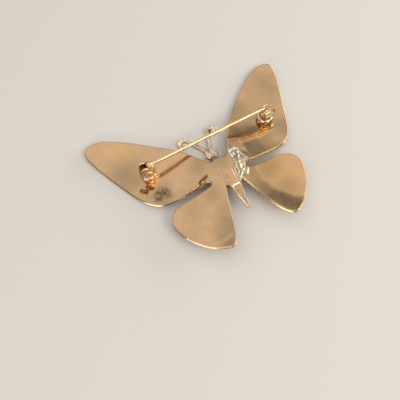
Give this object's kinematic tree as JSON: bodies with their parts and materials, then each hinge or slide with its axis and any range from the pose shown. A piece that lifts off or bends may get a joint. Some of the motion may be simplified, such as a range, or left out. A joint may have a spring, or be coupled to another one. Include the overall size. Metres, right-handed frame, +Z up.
{
  "type": "butterfly brooch",
  "caption": "Butterfly brooch lying face down: thin gold-plated metal with hollow-backed wings, a hinged pin wire and a turning safety catch.",
  "frame": {"origin": "on the surface the brooch lies on, under the middle of its bounding box", "axes": "+X across the wings from the hinge to the catch, +Y from the tail to the head, +Z up from the surface, towards the pin side"},
  "size_m": [0.058, 0.043, 0.006],
  "materials": {
    "plated_body": "satin gold plate, mirror-like in places",
    "plated_wire": "polished",
    "plated_rivet": "polished",
    "plated_sleeve": "polished"
  },
  "bodies": {
    "brooch": {"butterfly": "plated_body", "hinge_rivet": "plated_rivet"},
    "stem": {"pin_stem": "plated_wire"},
    "sleeve": {"catch_sleeve": "plated_sleeve"}
  },
  "joints": [
    {"name": "stem_hinge", "type": "hinge", "parent": "brooch", "child": "stem", "pos_m": [-0.0162, 0.0069, 0.0051], "axis": [0, -1, 0], "range_deg": [-2.8, 100]},
    {"name": "sleeve_turn", "type": "hinge", "parent": "brooch", "child": "sleeve", "pos_m": [0.0186, 0.00655, 0.0034], "axis": [1, 0, 0], "range_deg": [0, 90]}
  ]
}
